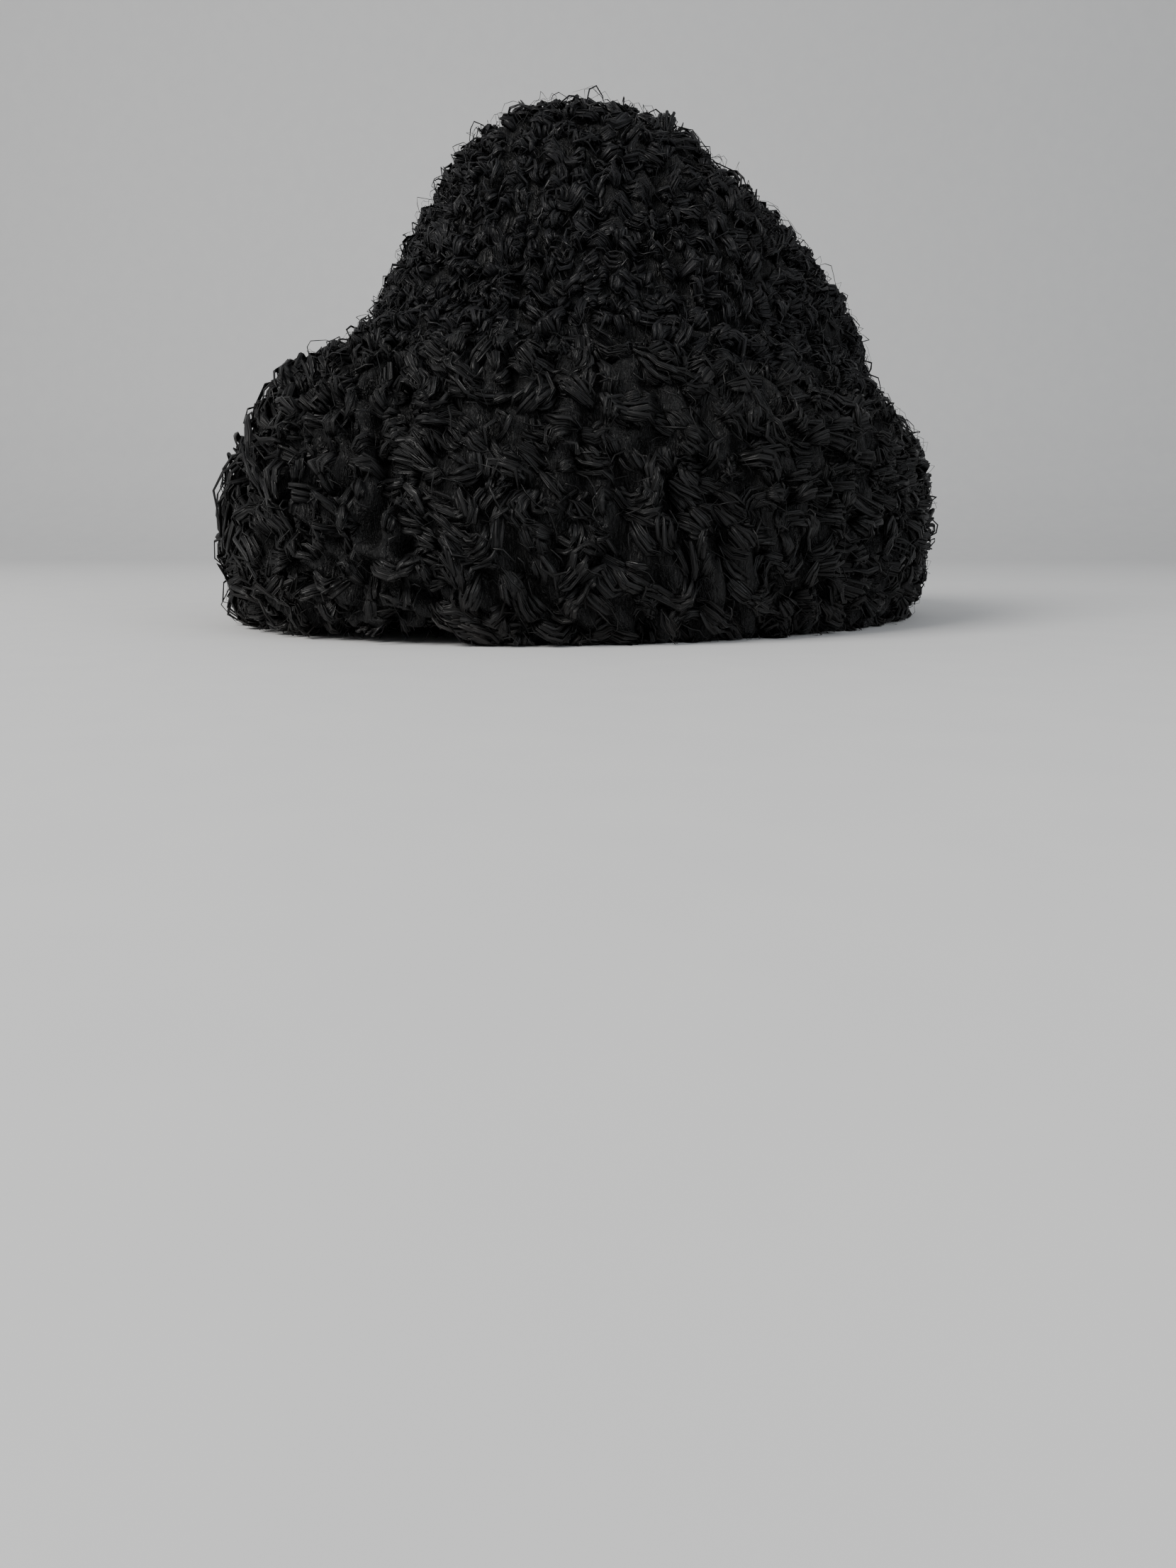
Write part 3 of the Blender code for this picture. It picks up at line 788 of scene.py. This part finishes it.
body, right_fur, _, right_relief, right_turn = cuff_pelt(
    "right", lambda height: BACK_SEAM_TURN + 0 * height, front_lap, lambda turn: lift_at(turn, LIFT_REACH),
    lobes, lambda fur, turn: RIGHT_RELIEF,
)
dress(body, pelt_wool_and_painted_shade, "cuff_right_fur", "cuff_right")
cuff_wool_and_parting_shade = fur_material(
    "cuff_wool_and_parting_shade", (0.0120, 0.0120, 0.0124), (0.0165, 0.0163, 0.0167), (0.014, 0.010, 0.0075), 0.26
)
right_seeds = scattered(right_fur, 0.0054, 33)
rng = np.random.default_rng(34)
count = len(right_seeds)
small = right_fur.read(near_front(right_turn), *right_seeds.T)
broad = swirls(right_turn.shape, STEP, 0.0150, 35)
tight = swirls(right_turn.shape, STEP, 0.0075, 37)
right_flow = broad + (tight - broad) * near_front(right_turn)
from_edge = np.minimum(right_seeds[:, 0], right_fur.rows - right_seeds[:, 0]) * STEP
near_edge = np.clip(from_edge / 0.012, 0.5, 1)
big = (1 - 0.42 * small) * near_edge
right_curls = tufts(
    "cuff_right_curls", right_fur, right_relief, right_flow, right_seeds, 38,
    way=rng.normal(0, 0.25, count),
    bend=rng.normal(0, 0.5, count) + small * rng.normal(0, 0.6, count),
    length=big * rng.uniform(0.015, 0.026, count),
    width=big * rng.uniform(0.0065, 0.0115, count),
    start=rng.uniform(0.7, 1.3, count) + 0.2 * small,
    end=-rng.uniform(1.0, 2.0, count) - 0.3 * small,
    strips=7.4,
)
dress(right_curls, cuff_wool_and_parting_shade, "cuff_right_fur")
right_hairs = stray_hairs("cuff_right_hairs", right_fur, right_relief, 0.0040, 39)
dress(right_hairs, cuff_wool_and_parting_shade, "cuff_right_fur")


# Cuff, left pelt. It overlaps the right one at the front lap and runs round the wearer's left to the back
# seam, where the two are sewn together. Its wool lies in near-upright rows of pipe curls.


def in_rows(turn):
    """How far a place on the left pelt is from the loose curls at the lap (0) to the side's rows (1)."""
    return np.clip((turn - radians(35)) / radians(35), 0, 1)


def pipe_rows(fur, turn):
    lean = 0.35 * noise_field(turn.shape, STEP, 0.040, 41) + 0.9 * noise_field(turn.shape, STEP, 0.011, 43)
    rows = ridges(turn.shape, STEP, 0.0094, lean, 1.4, 42)
    return np.clip(0.75 * rows + 0.25 * noise_field(turn.shape, STEP, 0.004, 49), -1, 1)


body, left_fur, left_field, left_relief, left_turn = cuff_pelt(
    "left", front_lap, lambda height: BACK_SEAM_TURN + tau + 0 * height, lambda turn: 0 * turn,
    pipe_rows, lambda fur, turn: 0.0042 + 0.0028 * in_rows(turn),
)
dress(body, pelt_wool_and_painted_shade, "cuff_left_fur", "cuff_left")
left_seeds = scattered(left_fur, 0.0050, 43)
rng = np.random.default_rng(44)
edge = rng.uniform(0, 1, (110, 2)) * (left_fur.rows - 1, 0.005 / STEP)
left_seeds = np.concatenate([left_seeds, edge])
count = len(left_seeds)
left_flow = over_ridges(left_field, STEP, 1.0, 45) * (0.7 + 0.6 * in_rows(left_turn))
left_flow = left_flow + 0.9 * swirls(left_field.shape, STEP, 0.008, 48) * (1 - 0.45 * in_rows(left_turn))
at_lap = np.clip(1.4 - np.arange(left_fur.columns) * STEP / 0.005, 0, 1)[None]
left_flow = left_flow * (1 - at_lap) - 1.5 * at_lap
left_curls = tufts(
    "cuff_left_curls", left_fur, left_relief, left_flow, left_seeds, 46,
    way=rng.normal(0, 0.35, count),
    bend=rng.normal(0, 0.8, count),
    length=rng.uniform(0.0095, 0.0150, count),
    width=rng.uniform(0.0042, 0.0078, count),
    start=rng.uniform(0.8, 1.4, count),
    end=-rng.uniform(1.2, 2.3, count),
    strips=6.5,
)
dress(left_curls, cuff_wool_and_parting_shade, "cuff_left_fur")
left_hairs = stray_hairs("cuff_left_hairs", left_fur, left_relief, 0.0040, 47)
dress(left_hairs, cuff_wool_and_parting_shade, "cuff_left_fur")


# Floor, light and camera. A plain pale sweep of paper lies under and behind the hat, with one large soft
# light, a weak fill and an even sky. The camera looks almost level at the hat's front, to the wearer's left.

PHOTO_AZIMUTH = radians(37.5)

sweep_mesh = bmesh.new()
sweep_corners = [sweep_mesh.verts.new((-3.0, -1.5, 0)), sweep_mesh.verts.new((3.0, -1.5, 0))]
sweep_edge = sweep_mesh.edges.new(sweep_corners)
SWEEP = ((0.9, 0.0), (1.05, 0.02), (1.16, 0.07), (1.23, 0.15), (1.25, 0.26), (1.25, 3.0))
edges, before = [sweep_edge], Vector((0, -1.5, 0))
for away, rise in SWEEP:
    grown = bmesh.ops.extrude_edge_only(sweep_mesh, edges=edges)["geom"]
    edges = [part for part in grown if isinstance(part, bmesh.types.BMEdge) and len(part.link_faces) == 1]
    edges = [edge for edge in edges if all(corner in grown for corner in edge.verts)]
    here = Vector((0, away, rise))
    corners = [part for part in grown if isinstance(part, bmesh.types.BMVert)]
    bmesh.ops.translate(sweep_mesh, verts=corners, vec=here - before)
    before = here
bmesh.ops.recalc_face_normals(sweep_mesh, faces=sweep_mesh.faces)
sweep_data = bpy.data.meshes.new("floor")
sweep_mesh.transform(Matrix.Rotation(PHOTO_AZIMUTH, 4, "Z"))
sweep_mesh.to_mesh(sweep_data)
sweep_mesh.free()
sweep_data.shade_smooth()
floor = bpy.data.objects.new("floor", sweep_data)
bpy.context.scene.collection.objects.link(floor)
paper = Nodes("paper")
on_paper = paper.add("ShaderNodeTexCoord", out="Object")
grain = paper.add("ShaderNodeTexNoise", {}, Vector=on_paper, Scale=60.0)
PAPER = ((0.3, (0.80, 0.80, 0.80)), (0.7, (0.82, 0.82, 0.815)))
tone = paper.add("ShaderNodeValToRGB", dict(stops=PAPER), grain)
paper.feed(Base_Color=tone, Roughness=0.75)
floor.data.materials.append(paper.material)
floor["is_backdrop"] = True

world = bpy.data.worlds.new("studio")
world.use_nodes = True
world.node_tree.nodes["Background"].inputs["Color"].default_value = (0.80, 0.82, 0.85, 1)
world.node_tree.nodes["Background"].inputs["Strength"].default_value = 0.40
bpy.context.scene.world = world


def soft_light(name, place, aim, size, power, colour):
    lamp = bpy.data.lights.new(name, "AREA")
    lamp.shape, lamp.size, lamp.energy, lamp.color = "SQUARE", size, power, colour
    made = bpy.data.objects.new(name, lamp)
    bpy.context.scene.collection.objects.link(made)
    made.location = place
    made.rotation_euler = (Vector(aim) - Vector(place)).to_track_quat("-Z", "Y").to_euler()


CAMERA_AWAY = 0.40
CAMERA_HEIGHT = 0.028
IMAGE_SIZE = (1659, 2212)
FOCAL_PIXELS = 1534
HAT_AT = (842, 542)
LIT = (0, 0, 0.06)

view_from = Vector((sin(PHOTO_AZIMUTH), -cos(PHOTO_AZIMUTH), 0))
to_right = Vector((cos(PHOTO_AZIMUTH), sin(PHOTO_AZIMUTH), 0))
key_place = view_from * 0.7 - to_right * 0.9 + Vector((0, 0, 1.0))
fill_place = view_from * 0.9 + to_right * 0.9 + Vector((0, 0, 0.7))
soft_light("key", key_place, LIT, 0.7, 17.5, (1, 0.98, 0.95))
soft_light("fill", fill_place, LIT, 1.0, 5.5, (0.92, 0.96, 1))

camera_data = bpy.data.cameras.new("camera")
camera_data.sensor_width = 36
camera_data.clip_start = 0.001
camera_data.lens = FOCAL_PIXELS / max(IMAGE_SIZE) * camera_data.sensor_width
camera = bpy.data.objects.new("camera", camera_data)
bpy.context.scene.collection.objects.link(camera)
low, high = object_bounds()
middle = (low + high) / 2
camera.location = view_from * CAMERA_AWAY + Vector((0, 0, CAMERA_HEIGHT))
sight = middle - camera.location
off_side = atan2(HAT_AT[0] - IMAGE_SIZE[0] / 2, FOCAL_PIXELS)
off_up = atan2(IMAGE_SIZE[1] / 2 - HAT_AT[1], FOCAL_PIXELS)
pitch = atan2(sight.z, sight.xy.length) - off_up
yaw = atan2(-sight.x, sight.y) + off_side
camera.rotation_euler = (pi / 2 + pitch, 0, yaw)
bpy.context.scene.camera = camera
